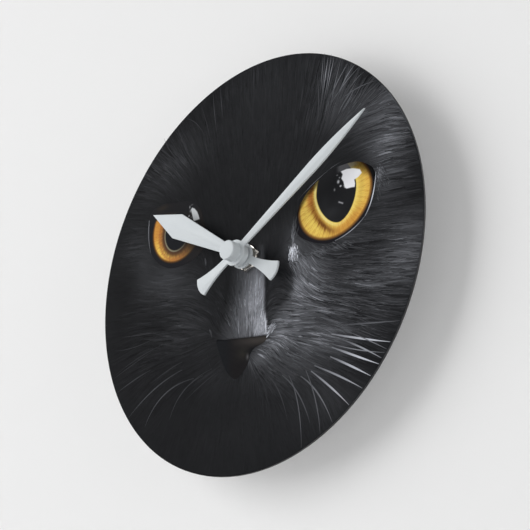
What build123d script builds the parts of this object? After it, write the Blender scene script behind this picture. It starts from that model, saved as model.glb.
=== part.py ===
from build123d import *
import os
from math import acos, atan2, cos, pi, radians, sin, tan

# Round wall clock: a thin printed disc, two hands and a quartz movement behind it.
# Millimetres. +Z is up, the dial looks along -Y, and the origin is on the hands' axis in the
# plane of the wall. A depth is a distance out from the wall, so it is measured along -Y.

# --- dial and hands ---
dial_diameter = 203.2
dial_thickness = 1.2
hand_thickness = 1.1
hour_hand_length = 73.4
minute_hand_length = 91.4
hour_hand_angle = 302.7      # degrees clockwise from twelve
minute_hand_angle = 60.0
hour_hand_lift = 4.5         # back of the hand above the dial's face
minute_hand_lift = 9.5
hub_radius = 6.2
cap_radius = 4.6
cap_height = 5.0
cap_edge = 0.5               # round of the cap's front edge

# --- movement case ---
case_width = 56.0
case_height = 56.0
case_depth = 16.0
case_corner = 3.0
case_wall = 1.4
front_wall = 1.0
cover_depth = 6.0            # the back cover's skirt ends here and the front shell starts
shaft_below_top = 22.0
hanger_width = 18.0
hanger_height = 10.0
hanger_thickness = 3.0
hanger_hole_radius = 2.6

# --- stack on the shaft ---
bush_radius = 4.0
washer_thickness = 0.5
washer_radius = 5.4
rubber_thickness = 1.0
rubber_radius = 9.0
nut_across_flats = 11.8
nut_thickness = 1.8
bush_stand = 0.5             # thread left showing past the nut
pipe_radius = 2.5            # hour pipe
arbor_radius = 1.6           # minute arbor

# --- fits ---
running_fit = 0.06           # radial play of a pivot in its hole
end_play = 0.1
pivot_radius = 0.3
post_radius = 0.8

# --- battery: size AA ---
battery_radius = 7.25
battery_length = 50.45
nub_radius = 2.75
nub_length = 1.25
battery_play = 0.25
contact_thickness = 0.4

# --- gear train ---
tooth_play = 0.05            # taken off every tooth's thickness
pressure = radians(30)
addendum = 0.8               # of a module
dedendum = 1.0
centre_teeth, third_pinion_teeth = 64, 8
third_teeth, second_pinion_teeth = 60, 8
second_teeth, fifth_pinion_teeth = 60, 10
fifth_teeth, rotor_pinion_teeth = 50, 10
cannon_teeth, minute_teeth = 12, 36
minute_pinion_teeth, hour_teeth = 10, 40
knob_teeth = 12
centre_module = 0.3
third_rim_gap = 1.5          # the third wheel's rim clears the minute arbor by this
second_module = 0.25
fifth_module = 0.25
cannon_module = 0.4

os.makedirs("parts", exist_ok=True)

# --- worked out ---
case_top = shaft_below_top
case_bottom = case_top - case_height
case_middle = (case_top + case_bottom) / 2
inner_width = case_width - 2 * case_wall
inner_height = case_height - 2 * case_wall
inner_left = -inner_width / 2
inner_right = inner_width / 2
inner_bottom = case_bottom + case_wall
inner_front = case_depth - front_wall
dial_back = case_depth + rubber_thickness
dial_front = dial_back + dial_thickness
nut_back = dial_front + washer_thickness
nut_front = nut_back + nut_thickness
bush_front = nut_front + bush_stand
hour_hand_back = dial_front + hour_hand_lift
hour_hand_front = hour_hand_back + hand_thickness
minute_hand_back = dial_front + minute_hand_lift
minute_hand_front = minute_hand_back + hand_thickness
collar_lip = 0.2             # rivet lip of a collar, proud of its hand
collar_gap = 0.4             # daylight between parts that turn at different rates
pipe_front = hour_hand_front + collar_lip
arbor_front = minute_hand_front + 0.45 * cap_height

plate_back = 9.4             # the train plate divides the going train from the motion work
plate_front = plate_back + 1.0
battery_z = inner_bottom + battery_radius + battery_play + 0.1
battery_depth = inner_front - battery_play - battery_radius
bay_wall = 1.0
bay_top = battery_z + battery_radius + 2 * battery_play
bay_roof = bay_top + bay_wall


def at(depth, x=0.0, z=0.0):
    """Plane facing the viewer at a depth, with its origin on (x, z)."""
    return Plane(origin=(x, -depth, z), x_dir=(1, 0, 0), z_dir=(0, -1, 0))


def beside(place, distance, angle):
    """Point at a distance and angle, counted from +X towards +Z, from another point."""
    return (place[0] + distance * cos(radians(angle)), place[1] + distance * sin(radians(angle)))


def centres(teeth_a, teeth_b, module):
    """Distance between the axes of two wheels in mesh."""
    return (teeth_a + teeth_b) * module / 2


def disc(place, depth, radius):
    """Round face at a depth."""
    with BuildSketch(at(depth, *place)) as face:
        Circle(radius)
    return face.sketch


def block(x_low, x_high, z_low, z_high, depth):
    """Rectangular face at a depth, given by its edges."""
    with BuildSketch(at(depth, (x_low + x_high) / 2, (z_low + z_high) / 2)) as face:
        Rectangle(x_high - x_low, z_high - z_low)
    return face.sketch


def half_tooth(radius, pitch_radius, teeth):
    """Half the angle that an involute tooth fills at a radius."""
    base = pitch_radius * cos(pressure)
    slope = acos(min(1.0, base / radius))
    at_pitch = pi / (2 * teeth) - tooth_play / (2 * pitch_radius)
    return at_pitch + (tan(pressure) - pressure) - (tan(slope) - slope)


def gear(place, depth, teeth, module, phase):
    """Toothed face whose first tooth points along the phase angle."""
    pitch_radius = teeth * module / 2
    root = pitch_radius - dedendum * module
    tip = pitch_radius + addendum * module
    base = max(root, pitch_radius * cos(pressure))
    flank = [base, (base + pitch_radius) / 2, pitch_radius, (pitch_radius + tip) / 2, tip]
    points = []
    for tooth in range(teeth):
        middle = phase + 2 * pi * tooth / teeth
        steps = [(root, -half_tooth(base, pitch_radius, teeth))]
        steps += [(radius, -half_tooth(radius, pitch_radius, teeth)) for radius in flank]
        steps += [(radius, -angle) for radius, angle in reversed(steps)]
        points += [(radius * cos(middle + angle), radius * sin(middle + angle))
                   for radius, angle in steps]
    if root >= base:
        points = [point for index, point in enumerate(points) if index % 12 not in (0, 11)]
    with BuildSketch(at(depth, *place)) as face:
        with BuildLine():
            Polyline(*points, close=True)
        make_face()
    return face.sketch


def mesh_phase(place, teeth, phase, other, other_teeth):
    """Phase that sets another wheel's gap on this wheel's tooth."""
    towards = atan2(other[1] - place[1], other[0] - place[0])
    share = (towards - phase) * teeth / (2 * pi)
    return towards + pi - 2 * pi / other_teeth * (0.5 - share)


# --- places of the arbors ---
shaft = (0.0, 0.0)
third_distance = centres(centre_teeth, third_pinion_teeth, centre_module)
third_rim = third_distance - arbor_radius - third_rim_gap
third_module = 2 * third_rim / (third_teeth + 2 * addendum)
third_place = beside(shaft, third_distance, -25)
second_place = beside(third_place, centres(third_teeth, second_pinion_teeth, third_module), 40)
fifth_place = beside(second_place, centres(second_teeth, fifth_pinion_teeth, second_module), 85)
rotor_place = beside(fifth_place, centres(fifth_teeth, rotor_pinion_teeth, fifth_module), 150)
motion_distance = centres(cannon_teeth, minute_teeth, cannon_module)
minute_place = beside(shaft, motion_distance, 200)
knob_place = beside(minute_place, centres(minute_teeth, knob_teeth, cannon_module), 215)
hour_module = 2 * motion_distance / (minute_pinion_teeth + hour_teeth)

# --- depths of the wheels: (back, front) ---
centre_layer = (8.0, 8.9)
third_layer = (5.9, 6.7)
third_pinion_layer = (7.0, 9.2)
second_layer = (4.3, 5.1)
second_pinion_layer = (5.5, 7.1)
fifth_layer = (2.7, 3.5)
fifth_pinion_layer = (3.9, 5.4)
rotor_pinion_layer = (2.4, 3.9)
magnet_layer = (4.6, 7.0)
cannon_layer = (11.1, 12.3)
minute_layer = (11.3, 12.1)
minute_pinion_layer = (12.1, 13.9)
hour_layer = (12.9, 13.9)
stator_layer = (5.4, 6.0)
core_layer = (6.0, 6.6)
board_layer = (2.0, 2.8)
boss_front = 2.2             # rear pivots turn in bosses on the back cover
pivot_back = 1.6
arbor_back = boss_front + end_play
going_arbor = 0.5
magnet_radius = 3.0
stator_gap = 0.4
coil_axis = rotor_place[1]
coil_depth = (core_layer[0] + core_layer[1]) / 2
coil_left, coil_right = -18.5, -0.5
flange_radius = 3.0
winding_radius = 2.75
core_half = 1.3
core_end = 4.5               # the core runs past the coil to lie on the stator

# --- setting knob ---
knob_radius = 5.2
knob_layer = (0.6, 3.2)
well_radius = knob_radius + 1.0
well_wall = 0.8
well_floor = (3.6, 4.6)
stem_radius = 1.2

# --- posts that carry the train plate ---
post_places = [(-24.0, 17.5), (24.0, 17.5), (-24.0, -12.5), (24.0, -12.5)]
stator_posts = [(-21.5, 10.9), (4.5, 7.7)]
clip_heights = (-8.0, 10.0)
clip_width = 6.0
clip_layer = (7.4, 8.8)
clip_root = 4.4              # the clips' tongues leave the skirt here
clip_thickness = 0.9

# dial: thin sheet disc with the hole for the threaded bush
with BuildPart() as dial_disc:
    with BuildSketch(at(dial_back)):
        Circle(dial_diameter / 2)
        Circle(bush_radius + running_fit, mode=Mode.SUBTRACT)
    extrude(amount=dial_thickness)
    chamfer(dial_disc.edges().filter_by(GeomType.CIRCLE).group_by(SortBy.RADIUS)[-1], 0.15)

# rubber washer between the movement and the back of the dial
with BuildPart() as rubber_washer:
    with BuildSketch(at(case_depth)):
        Circle(rubber_radius)
        Circle(bush_radius + running_fit, mode=Mode.SUBTRACT)
    extrude(amount=rubber_thickness)

# brass washer and hexagon nut that clamp the dial from the front
with BuildPart() as brass_washer:
    with BuildSketch(at(dial_front)):
        Circle(washer_radius)
        Circle(bush_radius + running_fit, mode=Mode.SUBTRACT)
    extrude(amount=washer_thickness)

nut_turn = 12                # degrees, as the nut happened to stop
nut_crown = 0.05             # the round front face is this much wider than the flats
with BuildPart() as hex_nut:
    with BuildSketch(at(nut_back)):
        RegularPolygon(nut_across_flats / 2, 6, major_radius=False, rotation=nut_turn)
        Circle(bush_radius, mode=Mode.SUBTRACT)
    extrude(amount=nut_thickness)
    with BuildSketch(at(nut_front)):
        Circle(nut_across_flats / 2 + nut_crown)
    extrude(amount=-nut_thickness, taper=-30, mode=Mode.INTERSECT)

# threaded bush: flanged inside the case, its bore carries the hour pipe
bush_flange = 0.6
with BuildPart() as threaded_bush:
    with BuildSketch(at(inner_front - bush_flange)):
        Circle(bush_radius + 1.5)
    extrude(amount=bush_flange)
    with BuildSketch(at(inner_front)):
        Circle(bush_radius)
    extrude(amount=bush_front - inner_front)
    chamfer(threaded_bush.edges().group_by(Axis.Y)[0], 0.35)
    extrude(disc(shaft, inner_front - bush_flange, pipe_radius + running_fit),
            amount=bush_front, mode=Mode.SUBTRACT)

# front shell of the case: a tray open towards the wall
with BuildPart() as case_front:
    with BuildSketch(at(cover_depth, 0, case_middle)):
        RectangleRounded(case_width, case_height, case_corner)
    extrude(amount=case_depth - cover_depth)
    fillet(case_front.faces().sort_by(Axis.Y)[0].outer_wire().edges(), front_wall * 0.6)
    with BuildSketch(at(cover_depth, 0, case_middle)):
        RectangleRounded(inner_width, inner_height, case_corner - case_wall)
    extrude(amount=inner_front - cover_depth, mode=Mode.SUBTRACT)
    for place in post_places:
        extrude(disc(place, plate_front, post_radius + 0.8), amount=inner_front - plate_front)
        extrude(disc(place, plate_back - 0.6, post_radius), amount=inner_front - plate_back)
    for side in (-1, 1):
        for height in clip_heights:
            outer = side * case_width / 2
            inner = side * inner_width / 2
            window = block(min(outer, inner), max(outer, inner), height - clip_width / 2 - 0.2,
                           height + clip_width / 2 + 0.2, clip_layer[0] - 0.2)
            extrude(window, amount=clip_layer[1] - clip_layer[0] + 0.4, mode=Mode.SUBTRACT)
    extrude(disc(shaft, inner_front, bush_radius), amount=front_wall, mode=Mode.SUBTRACT)
    for place, radius in ((minute_place, pivot_radius), (knob_place, 2 * pivot_radius)):
        extrude(disc(place, inner_front, radius + running_fit), amount=0.6 * front_wall,
                mode=Mode.SUBTRACT)

# back cover: plate and skirt, roof of the battery bay, knob well, pivot bosses and hanger loop
slot_play = 0.1
tail_layer = (1.8, 3.8)      # tails of the battery contacts
with BuildPart() as case_back:
    with BuildSketch(at(0, 0, case_middle)):
        RectangleRounded(case_width, case_height, case_corner)
    extrude(amount=cover_depth)
    fillet(case_back.faces().sort_by(Axis.Y)[-1].outer_wire().edges(), case_wall * 0.4)
    with BuildSketch(at(case_wall, 0, case_middle)):
        RectangleRounded(inner_width, inner_height, case_corner - case_wall)
    extrude(amount=cover_depth - case_wall, mode=Mode.SUBTRACT)
    with BuildSketch(at(0, 0, case_top + hanger_height / 2)):
        Rectangle(hanger_width, hanger_height)
    extrude(amount=hanger_thickness)
    hanger_corners = case_back.edges().filter_by(Axis.Y).group_by(Axis.Z)[-1]
    fillet(hanger_corners, hanger_height * 0.4)
    extrude(disc((0, case_top + hanger_height * 0.45), 0, hanger_hole_radius),
            amount=hanger_thickness, mode=Mode.SUBTRACT)
    extrude(block(inner_left, inner_right, inner_bottom, bay_top, 0), amount=case_wall,
            mode=Mode.SUBTRACT)
    extrude(block(inner_left, inner_right, bay_top, bay_roof, 0), amount=inner_front - 0.2)
    for low, high in ((inner_left, inner_left + contact_thickness + slot_play),
                      (inner_right - contact_thickness - slot_play, inner_right)):
        extrude(block(low, high, bay_top, bay_roof, tail_layer[0] - slot_play),
                amount=tail_layer[1] - tail_layer[0] + 2 * slot_play, mode=Mode.SUBTRACT)
        extrude(block(low - 0.2, high + 0.2, bay_top, bay_roof, cover_depth),
                amount=inner_front - cover_depth, mode=Mode.SUBTRACT)
    extrude(disc(knob_place, 0, well_radius + well_wall), amount=well_floor[1])
    extrude(disc(knob_place, 0, well_radius), amount=well_floor[0], mode=Mode.SUBTRACT)
    extrude(disc(knob_place, 0, stem_radius + running_fit), amount=well_floor[1],
            mode=Mode.SUBTRACT)
    for place in (third_place, second_place, fifth_place, rotor_place):
        extrude(disc(place, case_wall / 2, 1.5), amount=boss_front - case_wall / 2)
        extrude(disc(place, pivot_back - end_play, pivot_radius + running_fit),
                amount=boss_front, mode=Mode.SUBTRACT)
    extrude(disc(shaft, case_wall / 2, 2.2), amount=boss_front - case_wall / 2)
    extrude(disc(shaft, pivot_back - end_play, arbor_radius / 2 + running_fit),
            amount=boss_front, mode=Mode.SUBTRACT)
    for place in stator_posts:
        extrude(disc(place, case_wall / 2, post_radius + 0.5),
                amount=stator_layer[0] - case_wall / 2)
        extrude(disc(place, case_wall / 2, post_radius),
                amount=stator_layer[1] + 0.4 - case_wall / 2)
    for side in (-1, 1):
        for height in clip_heights:
            root = side * (inner_width / 2 - clip_thickness)
            face = side * inner_width / 2
            nib = side * (inner_width / 2 + clip_thickness * 0.8)
            low, high = height - clip_width / 2, height + clip_width / 2
            extrude(block(min(root, face), max(root, face), low, high, clip_root),
                    amount=clip_layer[1] - clip_root)
            extrude(block(min(face, nib), max(face, nib), low, high, clip_layer[0]),
                    amount=clip_layer[1] - clip_layer[0])

# train plate: carries the front pivots of the going train
with BuildPart() as train_plate:
    with BuildSketch(at(plate_back, 0, (bay_roof + case_top - case_wall) / 2)):
        RectangleRounded(inner_width - 0.8, case_top - case_wall - bay_roof - 0.8,
                         case_corner - case_wall)
    extrude(amount=plate_front - plate_back)
    for place in (third_place, second_place, fifth_place, rotor_place, minute_place):
        extrude(disc(place, plate_back, pivot_radius + running_fit), amount=1.0,
                mode=Mode.SUBTRACT)
    extrude(disc(shaft, plate_back, arbor_radius + running_fit), amount=1.0, mode=Mode.SUBTRACT)
    extrude(disc(knob_place, plate_back, stem_radius + running_fit), amount=1.0,
            mode=Mode.SUBTRACT)
    for place in post_places:
        extrude(disc(place, plate_back, post_radius), amount=1.0, mode=Mode.SUBTRACT)

# minute arbor: one turned shaft with the cannon pinion and the clutch flange
clutch_radius = 2.8
with BuildPart() as minute_arbor:
    extrude(disc(shaft, pivot_back, arbor_radius / 2), amount=arbor_front - pivot_back)
    extrude(disc(shaft, arbor_back, arbor_radius), amount=arbor_front - arbor_back)
    extrude(disc(shaft, centre_layer[1] + end_play / 2, clutch_radius),
            amount=plate_back - centre_layer[1] - 1.5 * end_play)
    extrude(gear(shaft, cannon_layer[0], cannon_teeth, cannon_module, 0),
            amount=cannon_layer[1] - cannon_layer[0])
    chamfer(minute_arbor.edges().group_by(Axis.Y)[0], 0.3)

# dished clutch spring behind the centre wheel, fixed on the arbor
spring_back = centre_layer[0] - 0.8
with BuildPart() as clutch_spring:
    with BuildSketch(Plane.XY):
        with BuildLine():
            Polyline((arbor_radius, -spring_back), (arbor_radius, -spring_back - 0.25),
                     (clutch_radius, -centre_layer[0] + end_play / 2),
                     (clutch_radius + 0.2, -centre_layer[0] + end_play / 2 + 0.2),
                     close=True)
        make_face()
    revolve(axis=Axis.Y)

# centre wheel: turns once an hour and slips on the arbor when the hands are set
lightening_ring, lightening_radius = 6.0, 1.9
with BuildPart() as centre_wheel:
    extrude(gear(shaft, centre_layer[0], centre_teeth, centre_module, 0),
            amount=centre_layer[1] - centre_layer[0])
    extrude(disc(shaft, centre_layer[0], arbor_radius + running_fit), amount=1.0,
            mode=Mode.SUBTRACT)
    for angle in range(0, 360, 72):
        extrude(disc(beside(shaft, lightening_ring, angle), centre_layer[0], lightening_radius),
                amount=1.0, mode=Mode.SUBTRACT)


def going_arbor_parts(place):
    """Round faces and lengths of an arbor between the back cover and the train plate."""
    return [(disc(place, pivot_back, pivot_radius), plate_front - 0.2 - pivot_back),
            (disc(place, arbor_back, going_arbor), plate_back - end_play - arbor_back)]


with BuildPart() as third_wheel:
    for face, length in going_arbor_parts(third_place):
        extrude(face, amount=length)
    extrude(gear(third_place, third_pinion_layer[0], third_pinion_teeth, centre_module,
                 mesh_phase(shaft, centre_teeth, 0, third_place, third_pinion_teeth)),
            amount=third_pinion_layer[1] - third_pinion_layer[0])
    extrude(gear(third_place, third_layer[0], third_teeth, third_module, 0),
            amount=third_layer[1] - third_layer[0])

with BuildPart() as second_wheel:
    for face, length in going_arbor_parts(second_place):
        extrude(face, amount=length)
    extrude(gear(second_place, second_pinion_layer[0], second_pinion_teeth, third_module,
                 mesh_phase(third_place, third_teeth, 0, second_place, second_pinion_teeth)),
            amount=second_pinion_layer[1] - second_pinion_layer[0])
    extrude(gear(second_place, second_layer[0], second_teeth, second_module, 0),
            amount=second_layer[1] - second_layer[0])

with BuildPart() as fifth_wheel:
    for face, length in going_arbor_parts(fifth_place):
        extrude(face, amount=length)
    extrude(gear(fifth_place, fifth_pinion_layer[0], fifth_pinion_teeth, second_module,
                 mesh_phase(second_place, second_teeth, 0, fifth_place, fifth_pinion_teeth)),
            amount=fifth_pinion_layer[1] - fifth_pinion_layer[0])
    extrude(gear(fifth_place, fifth_layer[0], fifth_teeth, fifth_module, 0),
            amount=fifth_layer[1] - fifth_layer[0])

with BuildPart() as rotor_pinion:
    for face, length in going_arbor_parts(rotor_place):
        extrude(face, amount=length)
    extrude(gear(rotor_place, rotor_pinion_layer[0], rotor_pinion_teeth, fifth_module,
                 mesh_phase(fifth_place, fifth_teeth, 0, rotor_place, rotor_pinion_teeth)),
            amount=rotor_pinion_layer[1] - rotor_pinion_layer[0])

# ring magnet of the stepping motor, pressed on the rotor pinion's arbor
with BuildPart() as rotor_magnet:
    with BuildSketch(at(magnet_layer[0], *rotor_place)):
        Circle(magnet_radius)
        Circle(going_arbor, mode=Mode.SUBTRACT)
    extrude(amount=magnet_layer[1] - magnet_layer[0])

# motion work: minute wheel, then the hour wheel with its pipe
minute_phase = mesh_phase(shaft, cannon_teeth, 0, minute_place, minute_teeth)
with BuildPart() as minute_wheel:
    extrude(disc(minute_place, plate_back + 0.2, pivot_radius),
            amount=inner_front + 0.5 * front_wall - plate_back - 0.2)
    extrude(disc(minute_place, plate_front + end_play, going_arbor),
            amount=inner_front - plate_front - 2 * end_play)
    extrude(gear(minute_place, minute_layer[0], minute_teeth, cannon_module, minute_phase),
            amount=minute_layer[1] - minute_layer[0])
    extrude(gear(minute_place, minute_pinion_layer[0], minute_pinion_teeth, hour_module, 0),
            amount=minute_pinion_layer[1] - minute_pinion_layer[0])

with BuildPart() as hour_wheel:
    extrude(gear(shaft, hour_layer[0], hour_teeth, hour_module,
                 mesh_phase(minute_place, minute_pinion_teeth, 0, shaft, hour_teeth)),
            amount=hour_layer[1] - hour_layer[0])
    extrude(disc(shaft, hour_layer[0] - 0.3, pipe_radius),
            amount=pipe_front - hour_layer[0] + 0.3)
    extrude(disc(shaft, hour_layer[0] - 0.3, arbor_radius + running_fit),
            amount=pipe_front, mode=Mode.SUBTRACT)

# setting knob: grip in the back cover's well, stem, and a pinion on the minute wheel
with BuildPart() as setting_knob:
    extrude(disc(knob_place, knob_layer[0], knob_radius), amount=knob_layer[1] - knob_layer[0])
    extrude(disc(knob_place, knob_layer[1], stem_radius),
            amount=cannon_layer[1] - knob_layer[1])
    extrude(gear(knob_place, cannon_layer[0], knob_teeth, cannon_module,
                 mesh_phase(minute_place, minute_teeth, minute_phase, knob_place, knob_teeth)),
            amount=cannon_layer[1] - cannon_layer[0])
    extrude(disc(knob_place, cannon_layer[1], 2 * pivot_radius),
            amount=inner_front + 0.5 * front_wall - cannon_layer[1])
    grip_count = 24
    for ridge in range(grip_count):
        extrude(disc(beside(knob_place, knob_radius + 0.1, 360 * ridge / grip_count),
                     knob_layer[0], 0.3), amount=knob_layer[1] - knob_layer[0],
                mode=Mode.SUBTRACT)
    with BuildSketch(at(knob_layer[0], *knob_place)):
        SlotOverall(knob_radius * 1.3, 1.2, rotation=30)
    extrude(amount=0.8, mode=Mode.SUBTRACT)


def hand_plane(depth, angle):
    """Plane at a depth whose Y runs along a hand, clockwise from twelve."""
    turn = radians(angle)
    return Plane(origin=(0, -depth, 0), x_dir=(cos(turn), 0, -sin(turn)), z_dir=(0, -1, 0))


# hour hand: dagger blade with a hard shoulder, flared tail with a round end
shoulder_share = 0.711       # of the hand's length, from the axis
shoulder_half = 6.3
tail_bulge = 1.5             # rise of the tail's round end over its corners
neck_half = 1.9
hour_tail, hour_tail_half = 25.6, 4.8
hub_seat = 0.3               # the collar's barrel is this much wider than what it fits on
with BuildPart() as hour_hand:
    with BuildSketch(hand_plane(hour_hand_back, hour_hand_angle)):
        with BuildLine():
            Polyline((0, hour_hand_length), (shoulder_half, shoulder_share * hour_hand_length),
                     (neck_half, hub_radius), (neck_half, -hub_radius))
            ThreePointArc((neck_half, -hub_radius), (0.55 * hour_tail_half, -0.6 * hour_tail),
                          (hour_tail_half, tail_bulge - hour_tail))
            ThreePointArc((hour_tail_half, tail_bulge - hour_tail),
                          (0.52 * hour_tail_half, 0.27 * tail_bulge - hour_tail),
                          (0, -hour_tail))
            mirror(about=Plane.YZ)
        make_face()
        Circle(hub_radius)
        Circle(pipe_radius + hub_seat, mode=Mode.SUBTRACT)
    extrude(amount=hand_thickness)

# minute hand: slim blade with a soft shoulder, the same kind of tail set a little off its line
minute_tail, minute_tail_half = 26.0, 5.0
minute_half, minute_neck_half = 3.0, 1.6
tail_lean = 2.5              # degrees clockwise from the blade's line
with BuildPart() as minute_hand:
    with BuildSketch(hand_plane(minute_hand_back, minute_hand_angle)):
        with BuildLine():
            Spline((0, minute_hand_length), (0.5 * minute_half, 0.885 * minute_hand_length),
                   (0.87 * minute_half, 0.756 * minute_hand_length),
                   (minute_half, 0.6 * minute_hand_length))
            Polyline((minute_half, 0.6 * minute_hand_length), (minute_neck_half, hub_radius),
                     (minute_neck_half, 0), (0, 0))
            mirror(about=Plane.YZ)
        make_face()
        Circle(hub_radius)
    extrude(amount=hand_thickness)
    with BuildSketch(hand_plane(minute_hand_back, minute_hand_angle + tail_lean)):
        with BuildLine():
            Polyline((0, 0), (neck_half, 0), (neck_half, -hub_radius))
            ThreePointArc((neck_half, -hub_radius), (0.55 * minute_tail_half, -0.6 * minute_tail),
                          (minute_tail_half, tail_bulge - minute_tail))
            ThreePointArc((minute_tail_half, tail_bulge - minute_tail),
                          (0.52 * minute_tail_half, 0.27 * tail_bulge - minute_tail),
                          (0, -minute_tail))
            mirror(about=Plane.YZ)
        make_face()
    extrude(amount=hand_thickness)
    with BuildSketch(hand_plane(minute_hand_back, minute_hand_angle)):
        Circle(arbor_radius + hub_seat)
    extrude(amount=hand_thickness, mode=Mode.SUBTRACT)

# pressed collars: each grips its shaft and is riveted into its hand
collar_flange = 2.7          # how far a collar's flange stands out from the hour pipe's bore
with BuildPart() as hour_collar:
    collar_back = bush_front + collar_gap
    with BuildSketch(at(collar_back)):
        Circle(pipe_radius + collar_flange)
    extrude(amount=hour_hand_back - collar_back)
    with BuildSketch(at(hour_hand_back)):
        Circle(pipe_radius + hub_seat)
    extrude(amount=pipe_front - hour_hand_back)
    with BuildSketch(at(collar_back)):
        Circle(pipe_radius)
    extrude(amount=pipe_front, mode=Mode.SUBTRACT)

with BuildPart() as minute_collar:
    collar_back = pipe_front + collar_gap
    with BuildSketch(at(collar_back)):
        Circle(pipe_radius + collar_flange)
    extrude(amount=minute_hand_back - collar_back)
    with BuildSketch(at(minute_hand_back)):
        Circle(arbor_radius + hub_seat)
    extrude(amount=minute_hand_front - minute_hand_back)
    with BuildSketch(at(collar_back)):
        Circle(arbor_radius)
    extrude(amount=minute_hand_front, mode=Mode.SUBTRACT)

# cap pushed on the end of the minute arbor
with BuildPart() as hand_cap:
    with BuildSketch(at(minute_hand_front)):
        Circle(cap_radius)
    extrude(amount=cap_height)
    fillet(hand_cap.edges().group_by(Axis.Y)[0], cap_edge)
    with BuildSketch(at(minute_hand_front)):
        Circle(arbor_radius)
    extrude(amount=arbor_front - minute_hand_front, mode=Mode.SUBTRACT)

# stator: soft iron plate round the rotor, its two arms reach the ends of the coil
stator_ring = 5.6
arm_half = 2.0
stator_bar = (-23.5, 10.0, 6.2, 9.2)     # left, right, low and high edge below the coil
stator_leg = (-23.5, -19.5, 6.2, 15.5)   # and up to the coil's far end
notch_radius = 0.5
with BuildPart() as stator:
    with BuildSketch(at(stator_layer[0])):
        with Locations(rotor_place):
            Circle(stator_ring)
        with Locations(((rotor_place[0] + 0.5) / 2, coil_axis)):
            Rectangle(rotor_place[0] - 0.5, 2 * arm_half)
        for left, right, low, high in (stator_bar, stator_leg):
            with Locations(((left + right) / 2, (low + high) / 2)):
                Rectangle(right - left, high - low)
        with Locations(rotor_place):
            Circle(magnet_radius + stator_gap, mode=Mode.SUBTRACT)
            with PolarLocations(magnet_radius + stator_gap, 2, start_angle=60):
                Circle(notch_radius, mode=Mode.SUBTRACT)
        with Locations(*stator_posts):
            Circle(post_radius, mode=Mode.SUBTRACT)
    extrude(amount=stator_layer[1] - stator_layer[0])

with BuildPart() as coil_core:
    with BuildSketch(at(core_layer[0])):
        with Locations(((coil_left + coil_right) / 2, coil_axis)):
            Rectangle(coil_right - coil_left + 2 * core_end, 2 * core_half)
    extrude(amount=core_layer[1] - core_layer[0])

# bobbin and winding: round about the core, along X
bobbin_tube = 1.7
flange_width = 0.8
coil_middle = ((coil_left + coil_right) / 2, coil_axis)
with BuildPart() as coil_bobbin:
    for start, length, radius in (
            (coil_left, coil_right - coil_left, bobbin_tube),
            (coil_left, flange_width, flange_radius),
            (coil_right - flange_width, flange_width, flange_radius)):
        with BuildSketch(Plane(origin=(start, -coil_depth, coil_axis), x_dir=(0, 1, 0),
                               z_dir=(1, 0, 0))):
            Circle(radius)
        extrude(amount=length)
    extrude(block(coil_left, coil_right, coil_axis - core_half, coil_axis + core_half,
                  core_layer[0]), amount=core_layer[1] - core_layer[0], mode=Mode.SUBTRACT)

with BuildPart() as coil_winding:
    with BuildSketch(Plane(origin=(coil_left + flange_width, -coil_depth, coil_axis),
                           x_dir=(0, 1, 0), z_dir=(1, 0, 0))):
        Circle(winding_radius)
        Circle(bobbin_tube, mode=Mode.SUBTRACT)
    extrude(amount=coil_right - coil_left - 2 * flange_width)

# circuit board on pads of the back cover, with its crystal and its covered chip
board_left, board_right = inner_left + 0.3, -4.0
board_low, board_high = 0.0, stator_posts[0][1] - post_radius - 0.8
pad_places = [(-23.5, 8.0), (-6.0, 8.0)]
pad_radius = 0.9
with BuildPart() as circuit_board:
    extrude(block(board_left, board_right, board_low, board_high, board_layer[0]),
            amount=board_layer[1] - board_layer[0])
    for place in pad_places:
        extrude(disc(place, case_wall, pad_radius), amount=board_layer[0] - case_wall)

crystal_radius = 1.0
crystal_length = 6.2
crystal_start = (-12.0, 2.2)
with BuildPart() as quartz_crystal:
    with BuildSketch(Plane(origin=(crystal_start[0], -board_layer[1] - crystal_radius,
                                   crystal_start[1]), x_dir=(0, 1, 0), z_dir=(1, 0, 0))):
        Circle(crystal_radius)
    extrude(amount=crystal_length)
    fillet(quartz_crystal.edges().group_by(Axis.X)[-1], 0.3)

chip_place = (-17.5, 4.4)
chip_radius, chip_height = 2.8, 0.9
with BuildPart() as chip_cover:
    extrude(disc(chip_place, board_layer[1], chip_radius), amount=chip_height)
    fillet(chip_cover.edges().group_by(Axis.Y)[0], 0.8 * chip_height)

# battery contacts: flat plate on the right, bowed leaf on the left, with tails to the board
leaf_thickness = 0.3
battery_right = inner_right - contact_thickness
battery_left = battery_right - battery_length
tail_width = tail_layer[1] - tail_layer[0]
plate_half = 4.5             # half the width of the contacts' faces
rail_low = bay_roof
rail_post = -8.0
overlap = 0.5                # the tails run this far onto the faces
bow_half = 5.0               # half the height of the leaf's bow
with BuildPart() as contact_positive:
    extrude(block(battery_right, inner_right, battery_z - plate_half, battery_z + plate_half,
                  battery_depth - plate_half), amount=2 * plate_half)
    extrude(block(battery_right, inner_right, battery_z + plate_half - overlap,
                  rail_low + contact_thickness, tail_layer[0]), amount=tail_width)
    extrude(block(rail_post, inner_right, rail_low, rail_low + contact_thickness,
                  tail_layer[0]), amount=tail_width)
    extrude(block(rail_post, rail_post + contact_thickness, rail_low, board_low,
                  tail_layer[0]), amount=tail_width)

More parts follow.
